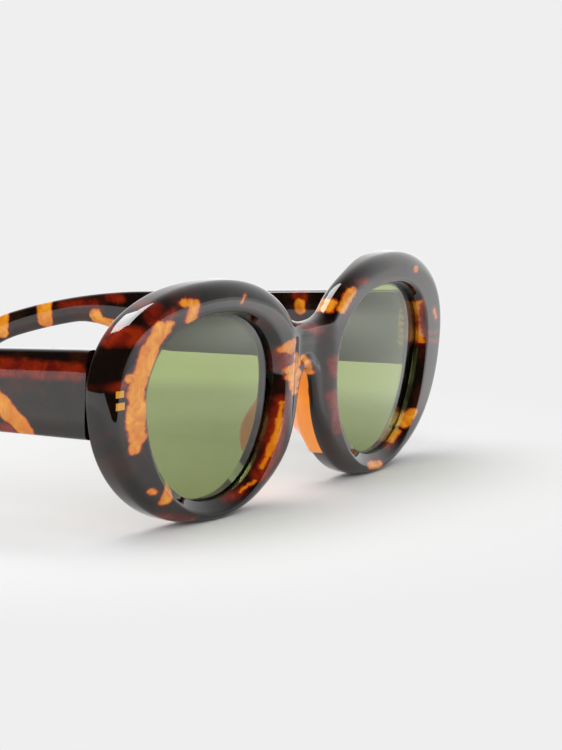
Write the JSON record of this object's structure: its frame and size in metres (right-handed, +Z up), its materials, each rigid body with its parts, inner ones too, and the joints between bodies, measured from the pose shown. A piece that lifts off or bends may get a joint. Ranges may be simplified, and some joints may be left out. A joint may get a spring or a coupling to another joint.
{
  "type": "sunglasses",
  "caption": "Oval sunglasses with a thick tortoiseshell plastic frame, green tinted lenses and folding temples on knuckle hinges.",
  "frame": {"origin": "middle of the box's footprint, on the surface that the lower rims and temple tips stand on", "axes": "+Z up, -Y the way the front faces (the wearer's line of sight), +X the wearer's left; temples open"},
  "size_m": [0.141, 0.1542, 0.0504],
  "materials": {
    "frame_plastic": "gloss",
    "temple_left_plastic": "gloss",
    "temple_right_plastic": "gloss",
    "pad_plastic": "gloss",
    "lens_tint": "gloss",
    "hinge_metal": "polished",
    "screw_metal": "satin"
  },
  "bodies": {
    "front": {"front_frame": "frame_plastic", "lens_left": "lens_tint", "lens_right": "lens_tint", "nose_pad_left": "pad_plastic", "nose_pad_right": "pad_plastic", "front_leaf_left": "hinge_metal", "front_leaf_right": "hinge_metal", "screw_left": "screw_metal", "screw_right": "screw_metal"},
    "temple_left": {"temple_left": "temple_left_plastic", "temple_leaf_left": "hinge_metal"},
    "temple_right": {"temple_right": "temple_right_plastic", "temple_leaf_right": "hinge_metal"}
  },
  "joints": [
    {"name": "temple_right_fold", "type": "hinge", "parent": "front", "child": "temple_right", "pos_m": [-0.06255, -0.06429, 0.02982], "axis": [-0.0523, 0.047, -0.9975], "range_deg": [0, 88]},
    {"name": "temple_left_fold", "type": "hinge", "parent": "front", "child": "temple_left", "pos_m": [0.06255, -0.06429, 0.02982], "axis": [-0.0523, -0.047, 0.9975], "range_deg": [0, 77]}
  ]
}
